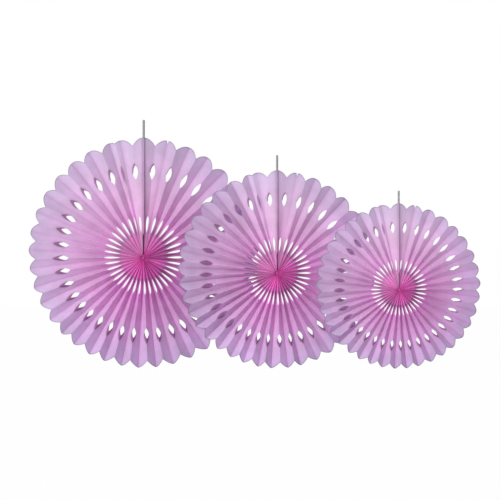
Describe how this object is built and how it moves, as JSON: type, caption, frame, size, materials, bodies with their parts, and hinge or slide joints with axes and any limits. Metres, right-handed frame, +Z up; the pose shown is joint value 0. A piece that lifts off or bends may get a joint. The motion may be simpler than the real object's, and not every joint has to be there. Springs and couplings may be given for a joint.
{
  "type": "paper fan garland",
  "caption": "Row of round pleated paper fans in descending size, with petal rims, leaf-shaped cut-outs and slits, each hung on a short cord.",
  "frame": {"origin": "upper end of the middle fan's cord, where it is hung", "axes": "+X along the row from the large fan to the small one, -Y the way the fans face, +Z up along the cords"},
  "size_m": [0.6849, 0.0463, 0.3769],
  "materials": {
    "paper": "matt lilac pink tissue-weight paper",
    "cord": "grey twisted cord",
    "thread": "pink cotton thread"
  },
  "bodies": {
    "root": {"fan_large": "paper", "fan_middle": "paper", "fan_small": "paper", "cord_large": "cord", "cord_middle": "cord", "cord_small": "cord", "hub_thread_large": "thread", "hub_thread_middle": "thread", "hub_thread_small": "thread"}
  },
  "joints": []
}
